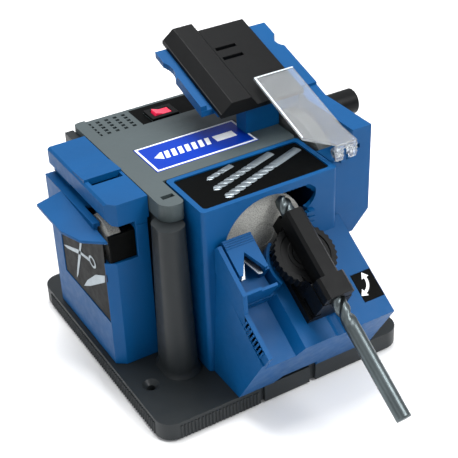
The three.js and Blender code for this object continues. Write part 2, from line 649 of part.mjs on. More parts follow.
// A block in the ramp's frame: s runs down the slope, n stands square to it.
function rampBlock(x0, x1, s0, s1, n0, n1) {
  const geometry = new THREE.BoxGeometry(x1 - x0, s1 - s0, n1 - n0);
  const place = new THREE.Matrix4().makeTranslation((x0 + x1) / 2, -(s0 + s1) / 2, (n0 + n1) / 2);
  return solid(geometry, rampFrame.clone().multiply(place));
}

// A profile of (s, n) points in the ramp's frame, extruded across it.
function rampPrism(points, x0, x1) {
  const geometry = extruded(polygon(points.map(([s, n]) => [-s, n])), x1 - x0, 1);
  const place = new THREE.Matrix4().makeTranslation(x0, 0, 0).multiply(ALONG_X);
  return solid(geometry, rampFrame.clone().multiply(place));
}

// A plan of (x, s) points standing on the ramp.
function rampPlan(points, n0, n1) {
  const geometry = extruded(polygon(points.map(([x, s]) => [x, -s]).reverse()), n1 - n0, 1);
  const place = new THREE.Matrix4().makeTranslation(0, 0, n0);
  return solid(geometry, rampFrame.clone().multiply(place));
}

function onRamp(s, n) {
  const angle = THREE.MathUtils.degToRad(RAMP.angle);
  return [
    DRILL.front - s * Math.cos(angle) - n * Math.sin(angle),
    RAMP.top - s * Math.sin(angle) + n * Math.cos(angle),
  ];
}

function wedge(inset, depth, x0, x1) {
  const z0 = BASE.height + GAP + inset;
  const start = onRamp(-8, -depth);
  const end = onRamp(RAMP.length - inset, -depth);
  const toe = [RAMP.toe + inset, z0];
  const heel = [DRILL.front + 6, z0];
  const shape = polygon([heel, start, end, toe]);
  const geometry = extruded(shape, x1 - x0, 1);
  const place = new THREE.Matrix4().makeTranslation(x0, 0, 0).multiply(ALONG_X);
  geometry.applyMatrix4(place);
  bend(geometry, (p) => {
    const share = Math.max(0, p.z - BASE.height) / (RAMP.top - BASE.height);
    if (p.x < x0 + 1 && x0 < TROUGH.left) p.x += RAMP.lean * share;
  });
  return solid(geometry);
}

// The drill-length gauge's station with its long left wall, standing on the ramp.
function gaugeStation() {
  const outer = RAMP.left + RAMP.lean - 1;
  const inner = outer + STATION.wall;
  const { high, highEnd, dropEnd, low, right, table } = STATION;
  const end = RAMP.length;
  const wall = rampPrism([
    [-9.5, GAP], [-9.5, high - 6], [-8, high], [highEnd, high - 0.5], [dropEnd, low], [end, low + 1],
    [end, GAP],
  ].reverse(), outer, inner);
  const tableBlock = rampBlock(inner - 0.5, right, -9.5, highEnd, GAP, table);
  const crossWall = rampBlock(inner - 0.5, -20.5, highEnd - 2, highEnd, GAP, high - 0.7);
  const bay = rampBlock(inner + 1.5, right + 1, GAUGE.end + 0.6, highEnd - 2, 5, high + 5);
  const pocket = rampBlock(-27, -12, 3, GAUGE.end + 2, 5, high);
  const bladeSeat = rampBlock(-28, -11, -2, GAUGE.end + 2, table - 4.5, high);
  const tongueSlot = rampBlock(-23, -17, -10.5, -0.5, table - 5.5, high);
  const faceCut = block(outer - 5, right + 5, DRILL.front - GAP, DRILL.front + 30, 80, 140);
  const grips = [];
  for (let i = 0; i < GRIP.count; i += 1) {
    const s = GRIP.first + i * GRIP.pitch;
    grips.push(rampBlock(outer - GRIP.proud, outer + 0.5, s, s + GRIP.width, 1, low - 0.5));
  }
  const station = join(cut(tableBlock, bay, pocket, bladeSeat, tongueSlot), wall, crossWall, ...grips);
  return cut(station, faceCut);
}

// The curved fence between the gauge station and the drill holder.
function fence() {
  const { x, pivot } = HOLDER;
  const sector = [];
  const steps = 10;
  const from = THREE.MathUtils.degToRad(FENCE.from);
  const to = THREE.MathUtils.degToRad(FENCE.to);
  const at = (radius, angle) => [x + radius * Math.cos(angle), pivot - radius * Math.sin(angle)];
  const outer = FENCE.inner + FENCE.thickness;
  for (let i = 0; i <= steps; i += 1) sector.push(at(FENCE.inner, from + ((to - from) * i) / steps));
  for (let i = steps; i >= 0; i -= 1) sector.push(at(outer, from + ((to - from) * i) / steps));
  return rampPlan(sector.reverse(), -4, FENCE.height);
}

// The room that the drill's tip sweeps through as its holder swings.
function sweptTip() {
  const radius = BIT.radius + SWEEP.clearance;
  const cuts = [];
  const limit = SWING + SWEEP.overrun;
  for (let step = -6; step <= 6; step += 1) {
    const angle = (limit * step) / 6;
    const place = rampFrame.clone()
      .multiply(new THREE.Matrix4().makeTranslation(HOLDER.x, -HOLDER.pivot, 0))
      .multiply(new THREE.Matrix4().makeRotationZ(THREE.MathUtils.degToRad(angle)))
      .multiply(new THREE.Matrix4().makeTranslation(0, 30, BIT_HEIGHT));
    cuts.push(solid(new THREE.CylinderGeometry(radius, radius, 26, 16), place));
  }
  return join(...cuts);
}

// The toothed stop at the right edge of the wheel's opening.
function toothedStop() {
  const front = DRILL.front - 3;
  const teeth = [0, 1, 2].map((i) => {
    const z = 105 + i * 4;
    return block(33.6, 40, front, DRILL.front + 0.5, z, z + 2.2);
  });
  return join(block(35.5, 40, front + 0.6, DRILL.front + 0.5, 104.5, 116), ...teeth);
}

function buildDrillUnit() {
  const { left, right, front, back, wall, rim, rimDepth } = DRILL;
  const z0 = BASE.height + GAP;
  let body = join(
    prismZ(roundedRect(left, right, front, back, 3), z0, TOP, 4),
    wedge(0, 0, RAMP.left, RAMP.right),
  );
  const ceiling = TOP - rimDepth - 2.5;
  body = cut(
    body,
    block(left + wall, right - wall, front + wall, back + 1, z0 + wall, ceiling),
    wedge(wall, TROUGH.depth + wall, RAMP.left + wall, TROUGH.right - 1),
    wedge(wall, wall + 1, TROUGH.right + 2, RAMP.right - wall),
    prismZ(roundedRect(left + rim, right - rim, front + rim, back - rim, 2.5), TOP - rimDepth, TOP + 1, 3),
    round('y', front - 0.01, front + OPENING.depth, AXIS.x, AXIS.z, OPENING.front, OPENING.back, 40),
  );
  body = cut(body, trough(), sweptTip(), bitGroove(), toeNotch());
  body = join(body, fence(), toothedStop());
  body = cut(body, block(left + 1, right - 1, front + wall + 0.01, front + 20, AXIS.z - 20, ceiling));
  const panel = ARROW_PANEL;
  body = cut(
    body,
    rampBlock(panel.left - GAP, panel.right + GAP, panel.start - GAP, panel.end + GAP, -panel.sunk, 5),
    round('z', -9, 2, 0, 0, 4 + GAP, 4 + GAP, 20).transform(
      rampFrame.clone().multiply(new THREE.Matrix4().makeTranslation(HOLDER.x, -HOLDER.pivot, 0)).elements),
  );
  add('drill_unit_body', body, BLUE);
  add('gauge_station', gaugeStation(), BLUE);
  const inside = rim + GAP;
  const panelPlan = roundedRect(left + inside, right - inside, front + inside, back - inside, 2.2);
  add('drill_unit_panel', prismZ(panelPlan, TOP - rimDepth + GAP, TOP - 0.6, 3), BLACK);
  add('arrow_panel', rampBlock(panel.left, panel.right, panel.start, panel.end,
    -panel.sunk + GAP, -panel.sunk + GAP + panel.thickness), BLACK);
}

// The open storage trough beside the ramp, with a sloping right-hand side.
function trough() {
  const { left, right, draft, start, depth } = TROUGH;
  const profile = [[left, -depth], [right - draft, -depth], [right + draft * 0.25, 2], [left, 2]];
  const length = RAMP.length + 5 - start;
  const geometry = extruded(polygon(profile), length, 1);
  const place = new THREE.Matrix4().makeTranslation(0, -start, 0).multiply(ALONG_Y);
  return solid(geometry, rampFrame.clone().multiply(place));
}

// The half-round relief under the drill at the ramp's front edge.
function bitGroove() {
  return rampRound('s', 54, RAMP.length + 12, 25, 4, 7, 7, 20);
}

// The raised middle of the front face's lower edge.
function toeNotch() {
  const z0 = BASE.height;
  return prismY([[-13, z0 - 1], [22, z0 - 1], [20, z0 + 6], [-7, z0 + 6]], -130, DRILL.front - 20);
}

function buildGauge() {
  const { left, right, start, end, thickness, notch, apex } = GAUGE;
  const bottom = STATION.table + GAP;
  const middle = (left + right) / 2;
  const plan = [
    [left, start], [right, start], [right, end], [middle + notch, end], [middle, apex], [middle - notch, end],
    [left, end],
  ];
  let slider = rampPlan(plan, bottom, bottom + thickness);
  const tongue = rampBlock(middle - 2.5, middle + 2.5, start + 0.3, start + 2.3, bottom - 4.5, bottom + 1);
  slider = join(slider, tongue);
  for (let i = 0; i < 4; i += 1) {
    const s = start + 0.8 + i * 1.6;
    slider = join(slider, rampBlock(left, right, s, s + 0.8, bottom + thickness - 0.2, bottom + thickness + 0.6));
  }
  add('gauge_slider', slider, BLUE);
  const bladePlan = [
    [middle - 8, 1.2], [middle + 8, 1.2], [middle + 8, end + 1], [middle + 5, end + 1], [middle, 5],
    [middle - 5, end + 1], [middle - 8, end + 1],
  ];
  add('gauge_plate', rampPlan(bladePlan, STATION.table - 4.2, STATION.table - 2.7), STEEL);
}

// ---------------------------------------------------------------- drill holder

function groove(s0, s1, radius) {
  return rampRound('s', s0, s1, HOLDER.x, BIT_HEIGHT, radius);
}

// A round bar in the ramp's frame, along the slope (s) or square to it (n).
function rampRound(axis, a, b, u, v, radiusA, radiusB = radiusA, sides = 20) {
  const middle = (a + b) / 2;
  const geometry = new THREE.CylinderGeometry(radiusB, radiusA, b - a, sides);
  const place = axis === 's'
    ? new THREE.Matrix4().makeTranslation(u, -middle, v).multiply(new THREE.Matrix4().makeRotationZ(Math.PI))
    : new THREE.Matrix4().makeTranslation(u, -v, middle).multiply(TURN.z);
  return solid(geometry, rampFrame.clone().multiply(place));
}

// A length of the clamp bar, with its two top edges chamfered.
function barLength(x0, x1, s0, s1, bottom) {
  const { top, chamfer } = BAR;
  const profile = [[x0, bottom], [x1, bottom], [x1, top - chamfer], [x1 - chamfer, top], [x0 + chamfer, top],
    [x0, top - chamfer]];
  const place = new THREE.Matrix4().makeTranslation(0, -s0, 0).multiply(ALONG_Y);
  return solid(extruded(polygon(profile), s1 - s0, 1), rampFrame.clone().multiply(place));
}

function buildHolder() {
  const { x, pivot, half, plate, table, rear, front } = HOLDER;
  const clear = BIT.radius + GAP;
  const wheelEdge = HAND_WHEEL.radius + 0.5;
  const frontPost = pivot + wheelEdge;
  const rearPost = pivot - wheelEdge;
  const postTop = BIT_HEIGHT - GAP;
  add('swing_pivot', join(
    rampRound('n', -8.6, plate - 0.8, x, pivot, 4),
    rampRound('n', -8.6, -6.4, x, pivot, 6.5),
  ), STEEL);
  let body = join(
    rampBlock(x - half, x + half, 2, front, GAP + 0.1, plate),
    rampBlock(x - half + 2, x + half - 2, 4, front, plate - 0.5, table),
    rampBlock(x - 5, x + 5, rear, 5, plate + 2, table),
    rampBlock(x - 5, x + 5, -6, 5, GAP + 0.1, plate + 2.5),
    rampRound('n', table - 0.5, HAND_WHEEL.top + 0.2, x, pivot, HAND_WHEEL.bore - GAP),
    rampBlock(x - 5, x + 5, rear, rearPost, table - 0.5, postTop - 4),
    rampBlock(x - half + 2, x + half - 2, frontPost, front, table - 0.5, postTop),
  );
  body = cut(
    body,
    rampRound('n', 0, plate - 0.5, x, pivot, 4 + GAP),
    rampRound('n', 8, HAND_WHEEL.top + 2, x, pivot, 4 + GAP),
    groove(rear - 2, front + 2, clear),
    rampBlock(x - half - 1, x - half + 7, 40, front + 1, plate + 2.5, table - 2),
  );
  add('holder_body', body, BLACK);
  add('clamp_plunger', rampRound('n', 12, BIT_HEIGHT - BIT.radius - GAP, x, pivot, 4), STEEL);

  const wheelShape = toothed(HAND_WHEEL.radius, HAND_WHEEL.lobes, HAND_WHEEL.lobe);
  const place = new THREE.Matrix4().makeTranslation(x, -pivot, HAND_WHEEL.bottom);
  let wheel = solid(extruded(wheelShape, HAND_WHEEL.top - HAND_WHEEL.bottom, 1),
    rampFrame.clone().multiply(place));
  wheel = cut(
    wheel,
    rampRound('n', HAND_WHEEL.bottom - 1, HAND_WHEEL.top + 1, x, pivot, HAND_WHEEL.bore),
    cut(
      rampRound('n', HAND_WHEEL.top - 1, HAND_WHEEL.top + 1, x, pivot, 17, 17, 28),
      rampRound('n', HAND_WHEEL.top - 2, HAND_WHEEL.top + 2, x, pivot, 12, 12, 24),
    ),
  );
  add('clamp_wheel', wheel, BLACK);

  const under = HAND_WHEEL.top + 0.5;
  const blockStart = BAR.end;
  let bar = join(
    barLength(x - BAR.half, x + BAR.half, BAR.rear, blockStart + 1, under),
    barLength(x - BAR.blockLeft, x + BAR.blockRight, blockStart, blockStart + BAR.block, BIT_HEIGHT + GAP),
  );
  bar = cut(
    bar,
    groove(BAR.rear - 2, blockStart + BAR.block + 2, clear),
    rampBlock(x - clear, x + clear, BAR.rear - 2, blockStart + 2, under - 1, BIT_HEIGHT),
    rampBlock(x - BAR.half - 1, x + BAR.half + 1, BAR.rear - 1, rearPost + 0.3, under - 1, postTop - 3.6),
    rampBlock(x - BAR.half - 1, x + BAR.half + 1, frontPost - 0.3, blockStart + 2, under - 1, BIT_HEIGHT + GAP),
  );
  add('clamp_bar', bar, BLACK);

  const { radius, tip, length, point } = BIT;
  const height = BIT_HEIGHT;
  const cone = radius / Math.tan(THREE.MathUtils.degToRad(point));
  const bit = join(
    rampRound('s', tip + cone, tip + length, x, height, radius, radius, 24),
    rampRound('s', tip, tip + cone, x, height, 0.3, radius, 24),
  );
  add('drill_bit', bit, DRILL_STEEL);
}

// ---------------------------------------------------------------- chisel unit

const bedTop = (y) => BED.height + BED.slope * y;

function buildChiselUnit() {
  const { left, right, front, back, bottom, skirt, table } = CHISEL;
  const inner = right - CHEEK.thickness;
  const cheek = prismX([
    [front, bottom], [back - 12, bottom], [back, bottom + 30], [BED.back - 6, bedTop(BED.back - 6)],
    [CHEEK.bend, CHEEK.top], [front, CHEEK.top],
  ].reverse(), inner, right);
  const frontBlock = prismY([[left, skirt], [inner + 2, skirt], [right, bottom], [inner + 2, table],
    [left, table]], front, back - 8);
  const podRadius = CHISEL_WHEEL.radius + 5;
  const pod = round('x', left, CHISEL_WHEEL.outer + 7, CROSS_Y, AXIS.z, podRadius, podRadius, 40)
    .subtract(block(left - 1, right + 1, -80, 80, AXIS.z, 220));
  const under = (backEdge) => [
    [BED.front, TOP + 0.4], [backEdge, TOP + 0.4], [backEdge, bedTop(backEdge) - 1],
    [BED.front, bedTop(BED.front) - 1],
  ];
  const web = prismX(under(WEB.back), WEB.left, right);
  const post = prismX(under(WEB.postBack), WEB.postLeft, right);
  const plate = prismX([
    [BED.front, bedTop(BED.front) - BED.thickness], [BED.back, bedTop(BED.back) - BED.thickness],
    [BED.back, bedTop(BED.back)], [BED.front, bedTop(BED.front)],
  ], BED.left, right);
  const rail = prismX([
    [RAIL.front, bedTop(RAIL.front) - 1], [RAIL.back, bedTop(RAIL.back) - 1],
    [RAIL.back, bedTop(RAIL.back) + RAIL.height], [RAIL.front, bedTop(RAIL.front) + RAIL.height],
  ], RAIL.left, RAIL.left + RAIL.width);
  let body = join(cheek, frontBlock, pod, web, post, plate, rail);
  body = cut(body, round('x', left - 1, inner + 0.1, GUARD_PIN.y, GUARD_PIN.z, GUARD_RELIEF));
  const ear = join(
    block(66.5, 70.5, GUARD_PIN.y - 3.2, GUARD_PIN.y + 3.2, table - 1, GUARD_PIN.z),
    round('x', 66.5, 70.5, GUARD_PIN.y, GUARD_PIN.z, 3.2, 3.2, 16),
  );
  body = join(body, ear);
  const chamber = CHISEL_WHEEL.radius + 1.5;
  body = cut(
    body,
    round('x', left - 1, CHISEL_WHEEL.outer + 1, CROSS_Y, AXIS.z, chamber, chamber, 40),
    round('x', CHISEL_WHEEL.outer, CHISEL_WHEEL.outer + 5.2, CROSS_Y, AXIS.z, 9, 9, 20),
    block(41, 64, 44, 67, BED.height - 2, bedTop(BED.back)),
    block(BED.left - 5, 12, BED.front - 3, 9, TOP, bedTop(BED.back)),
    round('x', 60, inner + 6, GUARD_PIN.y, GUARD_PIN.z, GUARD_PIN.radius + GAP, GUARD_PIN.radius + GAP, 12),
    round('x', right - 8, right + 1, ANGLE_KNOB.y, ANGLE_KNOB.z, 4 + GAP, 4 + GAP, 16),
    notches(),
  );
  add('chisel_unit_body', body, BLUE);
}

// Finger recesses in the bed's left and right edges and its back right corner.
function notches() {
  const leftBite = round('z', TOP, bedTop(BED.back), BED.left - 11, 52, 14, 14, 20);
  const rightBite = round('z', bedTop(52) - 6, bedTop(BED.back), CHISEL.right + 3, 52, 7, 7, 16);
  return join(leftBite, rightBite);
}

function buildCarriage() {
  const { left, right, front, back, thickness, ridge } = CARRIAGE;
  const under = (y) => bedTop(y) + GAP;
  const over = (y) => under(y) + thickness;
  let plate = prismX([[front, under(front)], [back, under(back)], [back, over(back)], [front, over(front)]],
    left, right);
  const ridgeShape = extruded(polygon([[left, 0], [left + 29, 0], [left + 24, ridge], [left + 9, ridge]]),
    back - front, 1);
  ridgeShape.applyMatrix4(new THREE.Matrix4().makeTranslation(0, back, 0).multiply(ALONG_Y));
  bend(ridgeShape, (p) => { p.z += over(p.y) - 0.5; });
  plate = join(plate, solid(ridgeShape));
  for (const y of [45, 55]) plate = cut(plate, block(41, 57, y - 1.5, y + 1.5, TOP, over(back)));
  add('chisel_carriage', plate, BLACK);
}

function buildGuard() {
  const { left, right, back, bend: fold, front, wall, rise } = GUARD;
  const at = (y) => rise + GUARD.slope * (y - back);
  const profile = [
    [back, at(back)], [fold, at(fold)], [front, at(fold) - 2.5], [front, GUARD_EDGE],
    [front - wall, GUARD_EDGE], [front - wall, at(fold) - 2.5 + wall], [fold, at(fold) + wall],
    [back, at(back) + wall],
  ].reverse();
  let guard = prismX(profile, left, right);
  const corner = polygon([[left - 1, front - 5], [left + 15.5, front - 5], [left + 15.5, front + 1], [left, fold],
    [left - 1, fold]]);
  guard = cut(guard, prismZ(corner, TOP - 20, rise + 5, 1));
  for (let i = 0; i < 3; i += 1) {
    const z = GUARD_PIN.z + 0.4 + i * 2.7;
    guard = join(guard, block(left + 16, right, front - wall - 0.9, front - wall + 0.5, z, z + 1));
  }
  for (const [x0, x1] of [[62.5, 65.9], [71.1, 74.5]]) {
    const lug = join(
      round('x', x0, x1, GUARD_PIN.y, GUARD_PIN.z, 3.4, 3.4, 16),
      block(x0, x1, front - 0.5, GUARD_PIN.y, GUARD_PIN.z, GUARD_PIN.z + 2.6),
    );
    guard = join(guard, lug);
  }
  guard = cut(
    guard,
    round('x', 60, 78, GUARD_PIN.y, GUARD_PIN.z, GUARD_PIN.radius + GAP, GUARD_PIN.radius + GAP, 12),
    block(66, 71, front - 5, GUARD_PIN.y - 1, GUARD_EDGE - 1, GUARD_PIN.z + 5),
  );
  add('chisel_guard', guard, CLEAR);
  add('guard_pin', round('x', 62.2, 78, GUARD_PIN.y, GUARD_PIN.z, GUARD_PIN.radius, GUARD_PIN.radius, 12),
    STEEL);
}

function buildAngleKnob() {
  const { y, z, radius, length } = ANGLE_KNOB;
  const start = CHISEL.right + GAP;
  add('angle_knob', join(
    round('x', start, start + length, y, z, radius, radius, 28),
    round('x', start - 7, start + 1, y, z, 4, 4, 16),
  ), BLACK);
}

buildBase();
buildLowerHousing();
buildUpperHousing();
buildSwitch();
buildMotor();
buildSpindles();
buildKnifeUnit();
buildDrillUnit();
buildGauge();
buildHolder();
buildChiselUnit();
buildCarriage();
buildGuard();
buildAngleKnob();

const group = new THREE.Group();
group.add(root);
root.updateMatrixWorld(true);
const extent = new THREE.Box3().setFromObject(root, true);
const middle = extent.getCenter(new THREE.Vector3());
root.position.set(-middle.x, -middle.y, -extent.min.z);

export default group;
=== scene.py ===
"""The looks of a multi-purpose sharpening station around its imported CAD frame."""

import json
import math

import bmesh
import bpy
from mathutils import Matrix, Vector


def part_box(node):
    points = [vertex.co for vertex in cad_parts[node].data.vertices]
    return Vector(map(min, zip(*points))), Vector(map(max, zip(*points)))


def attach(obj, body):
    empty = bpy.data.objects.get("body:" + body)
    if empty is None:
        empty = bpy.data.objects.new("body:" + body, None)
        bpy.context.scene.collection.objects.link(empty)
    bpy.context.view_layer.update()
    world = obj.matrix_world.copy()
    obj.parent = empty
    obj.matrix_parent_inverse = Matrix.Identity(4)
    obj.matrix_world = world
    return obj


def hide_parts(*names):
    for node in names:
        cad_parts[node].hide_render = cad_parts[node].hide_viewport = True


MM = 0.001

# ---------------------------------------------------------------- frame

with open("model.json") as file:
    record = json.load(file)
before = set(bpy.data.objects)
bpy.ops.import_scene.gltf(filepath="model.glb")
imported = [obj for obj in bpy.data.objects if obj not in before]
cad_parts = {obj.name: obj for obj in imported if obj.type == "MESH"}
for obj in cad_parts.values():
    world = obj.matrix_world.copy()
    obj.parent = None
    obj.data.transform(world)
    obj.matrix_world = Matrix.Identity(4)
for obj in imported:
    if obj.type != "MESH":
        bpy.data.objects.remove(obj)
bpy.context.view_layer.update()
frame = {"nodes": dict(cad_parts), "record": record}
NODES = frame["nodes"]

BASE_LEFT, BASE_FRONT = -95.0, -97.5
base_low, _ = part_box("base_plate")
OFFSET = base_low - Vector((BASE_LEFT, BASE_FRONT, 0.0)) * MM

RAMP_ANGLE = math.radians(33)
RAMP_TOP = (-66.0, 93.7)


def point(x, y, z):
    """A point given in millimetres from the centre of the base plate's underside."""
    return Vector((x, y, z)) * MM + OFFSET


def on_ramp(x, s, n):
    """A point on the ramp: x across, s down the slope, n square to it, in millimetres."""
    y = RAMP_TOP[0] - s * math.cos(RAMP_ANGLE) - n * math.sin(RAMP_ANGLE)
    z = RAMP_TOP[1] - s * math.sin(RAMP_ANGLE) + n * math.cos(RAMP_ANGLE)
    return point(x, y, z)


# ---------------------------------------------------------------- materials


def linear(r, g, b):
    """A display colour from 0 to 255 as the linear colour that a shader takes."""
    out = []
    for value in (r, g, b):
        v = value / 255
        out.append(v / 12.92 if v <= 0.04045 else ((v + 0.055) / 1.055) ** 2.4)
    return (*out, 1.0)


def shade(color, factor):
    return (*(min(1.0, c * factor) for c in color[:3]), 1.0)


class Surface:
    """A Principled material whose colour, roughness and bump come from noise in object space."""

    def __init__(self, name):
        self.material = bpy.data.materials.new(name)
        self.material.use_nodes = True
        self.nodes = self.material.node_tree.nodes
        self.links = self.material.node_tree.links
        self.shader = self.nodes["Principled BSDF"]
        self.coords = self.nodes.new("ShaderNodeTexCoord").outputs["Object"]

    def stretched(self, scale):
        mapping = self.nodes.new("ShaderNodeMapping")
        mapping.inputs["Scale"].default_value = scale
        self.links.new(self.coords, mapping.inputs["Vector"])
        return mapping.outputs["Vector"]

    def noise(self, scale, detail=2.0, vector=None):
        node = self.nodes.new("ShaderNodeTexNoise")
        node.inputs["Scale"].default_value = scale
        node.inputs["Detail"].default_value = detail
        self.links.new(vector or self.coords, node.inputs["Vector"])
        return node.outputs["Fac"]

    def grains(self, scale):
        node = self.nodes.new("ShaderNodeTexVoronoi")
        node.inputs["Scale"].default_value = scale
        self.links.new(self.coords, node.inputs["Vector"])
        return node

    def color(self, factor, dark, light, low=0.3, high=0.7):
        ramp = self.nodes.new("ShaderNodeValToRGB")
        ramp.color_ramp.elements[0].position = low
        ramp.color_ramp.elements[0].color = dark
        ramp.color_ramp.elements[1].position = high
        ramp.color_ramp.elements[1].color = light
        self.links.new(factor, ramp.inputs["Fac"])
        self.links.new(ramp.outputs["Color"], self.shader.inputs["Base Color"])

    def roughness(self, factor, low, high):
        spread = self.nodes.new("ShaderNodeMapRange")
        spread.inputs["From Min"].default_value = 0.3
        spread.inputs["From Max"].default_value = 0.7
        spread.inputs["To Min"].default_value = low
        spread.inputs["To Max"].default_value = high
        self.links.new(factor, spread.inputs["Value"])
        self.links.new(spread.outputs["Result"], self.shader.inputs["Roughness"])

    def bump(self, factor, strength, distance):
        node = self.nodes.new("ShaderNodeBump")
        node.inputs["Strength"].default_value = strength
        node.inputs["Distance"].default_value = distance
        self.links.new(factor, node.inputs["Height"])
        self.links.new(node.outputs["Normal"], self.shader.inputs["Normal"])

    def value(self, name, number):
        self.shader.inputs[name].default_value = number


def plastic(name, rgb, rough, grain=2600, strength=0.25, spread=0.07, coat=0.0, shine=0.4):
    """Injection-moulded plastic: a fine spark-eroded grain and faint flow marks."""
    s = Surface(name)
    base = linear(*rgb)
    s.color(s.noise(22, 4), shade(base, 1 - spread), shade(base, 1 + spread))
    s.roughness(s.noise(160, 3), rough - 0.05, rough + 0.07)
    s.bump(s.noise(grain, 3), strength, 0.00008)
    s.value("Specular IOR Level", shine)
    s.value("Coat Weight", coat)
    s.value("Coat Roughness", 0.25)
    return s.material


def metal(name, rgb, rough, stretch=(1, 1, 14)):
    """Turned or ground metal: fine lines along one direction."""
    s = Surface(name)
    base = linear(*rgb)
    lines = s.noise(900, 3, s.stretched(stretch))
    s.color(s.noise(60, 3), shade(base, 0.86), shade(base, 1.12))
    s.roughness(lines, rough - 0.06, rough + 0.1)
    s.bump(lines, 0.18, 0.00006)
    s.value("Metallic", 1.0)
    return s.material


def abrasive(name, rgb):
    """A grinding wheel: pale grains in a slightly darker bond."""
    s = Surface(name)
    base = linear(*rgb)
    grains = s.grains(1500)
    s.color(grains.outputs["Distance"], shade(base, 1.15), shade(base, 0.55), 0.1, 0.75)
    s.roughness(s.noise(300, 3), 0.8, 0.95)
    s.bump(grains.outputs["Distance"], 0.5, 0.0002)
    return s.material


def rubber(name):
    s = Surface(name)
    s.color(s.noise(80, 3), linear(14, 14, 14), linear(26, 26, 26))
    s.roughness(s.noise(200, 2), 0.75, 0.95)
    s.bump(s.noise(1800, 2), 0.3, 0.0001)
    return s.material


def clear(name):
    """Clear polycarbonate with the faint haze of a moulded sheet."""
    s = Surface(name)
    s.color(s.noise(15, 2), (0.9, 0.95, 0.98, 1), (0.97, 0.99, 1, 1))
    s.roughness(s.noise(40, 3), 0.12, 0.2)
    s.value("Transmission Weight", 0.88)
    s.value("IOR", 1.35)
    return s.material


def red_lens(name):
    s = Surface(name)
    s.color(s.noise(120, 2), linear(235, 20, 70), linear(255, 60, 100))
    s.roughness(s.noise(300, 2), 0.15, 0.25)
    s.value("Coat Weight", 0.6)
    s.value("Emission Color", linear(255, 40, 80))
    s.value("Emission Strength", 0.25)
    return s.material


BLUE = plastic("blue_moulded", (0, 72, 124), 0.45, strength=0.14, shine=0.18)
GREY = plastic("grey_textured", (66, 76, 78), 0.5, grain=1700, strength=0.4)
DARK_GREY = plastic("dark_grey_moulded", (34, 38, 40), 0.4, strength=0.22, shine=0.25)
BLACK = plastic("black_moulded", (7, 8, 9), 0.45, strength=0.2, spread=0.15, shine=0.15)
PANEL = plastic("panel_black", (3, 4, 4), 0.4, grain=3500, strength=0.08, shine=0.04)
LABEL = plastic("label_blue", (0, 50, 160), 0.35, grain=4000, strength=0.05, coat=0.1, shine=0.15)
PRINT = plastic("print_white", (238, 240, 242), 0.4, grain=4000, strength=0.05)
STEEL = metal("steel_turned", (170, 176, 180), 0.32)
DRILL_STEEL = metal("drill_steel", (92, 100, 102), 0.36, (1, 10, 6))
PRINT_STEEL = metal("print_steel", (150, 160, 166), 0.35, (1, 8, 8))
COPPER = metal("copper_turned", (190, 120, 70), 0.35)
WHEEL = abrasive("abrasive_grey", (190, 190, 184))
DARK_WHEEL = abrasive("abrasive_dark", (96, 100, 100))
# near-white plastic for strips on the clear guard's edges: a painted highlight, not the guard's own colour
GUARD_HIGHLIGHT = plastic("painted_guard_highlight", (222, 232, 238), 0.3, grain=4000, strength=0.05)
RUBBER = rubber("rubber_black")
CLEAR = clear("clear_guard")
RED = red_lens("switch_red")

FINISH = {
    "blue_plastic": BLUE,
    "grey_plastic": GREY,
    "dark_grey_plastic": DARK_GREY,
    "black_plastic": BLACK,
    "rubber": RUBBER,
    "steel": STEEL,
    "drill_steel": DRILL_STEEL,
    "copper": COPPER,
    "abrasive": WHEEL,
    "label": LABEL,
    "switch_red": RED,
    "clear": CLEAR,
}
PANELS = ("drill_unit_panel", "knife_panel", "arrow_panel", "knife_guide_insert")
SPECIAL = {"chisel_wheel": DARK_WHEEL}

# ---------------------------------------------------------------- rounded CAD pieces


def rounded(obj, width, angle=32, segments=2, smooth=True):
    """Rounds a moulded piece's edges and smooths its faces."""
    for polygon in obj.data.polygons:
        polygon.use_smooth = smooth
    weld = obj.modifiers.new("weld", "WELD")
    weld.merge_threshold = 0.00001
    flat = obj.modifiers.new("flat", "DECIMATE")
    flat.decimate_type = "DISSOLVE"
    flat.angle_limit = math.radians(0.6)
    bevel = obj.modifiers.new("bevel", "BEVEL")
    bevel.width = width * MM
    bevel.segments = segments
    bevel.limit_method = "ANGLE"
    bevel.angle_limit = math.radians(angle)
    bevel.miter_outer = "MITER_ARC"
    bevel.use_clamp_overlap = True
    if not smooth:
        return
    normals = obj.modifiers.new("normals", "WEIGHTED_NORMAL")
    normals.keep_sharp = True


SLOT_OF = {p["node"]: p["material_slot"] for p in frame["record"]["subparts"]}
EDGES = {"blue_plastic": 0.9, "dark_grey_plastic": 0.8, "grey_plastic": 0.8, "black_plastic": 0.5}
FINE_EDGES = {
    "chisel_guard": 0.35,
    "base_plate": 1.4,
    "gauge_station": 0.6,
    "drill_unit_panel": 0.2,
    "drill_unit_body": 0.5,
    "knife_panel": 0.2,
    "arrow_panel": 0.15,
    "gauge_slider": 0.25,
    "switch_frame": 0.4,
    "clamp_wheel": 0.35,
}

FLAT_SHADED = ("drill_unit_body", "chisel_unit_body")
SHARP = ("upper_housing",)  # its vent grid leaves no room for a rounded edge

for name, obj in NODES.items():
    slot = SLOT_OF[name]
    material = PANEL if name in PANELS else SPECIAL.get(name, FINISH[slot])
    obj.data.materials.clear()
    obj.data.materials.append(material)
    if name not in SHARP:
        rounded(obj, FINE_EDGES.get(name, EDGES.get(slot, 0.25)), smooth=name not in FLAT_SHADED)

# ---------------------------------------------------------------- new pieces


def piece(name, mesh, material, body, smooth=False):
    obj = bpy.data.objects.new(name, mesh)
    bpy.context.scene.collection.objects.link(obj)
    obj.data.materials.append(material)
    for polygon in obj.data.polygons:
        polygon.use_smooth = smooth
    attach(obj, body)
    return obj


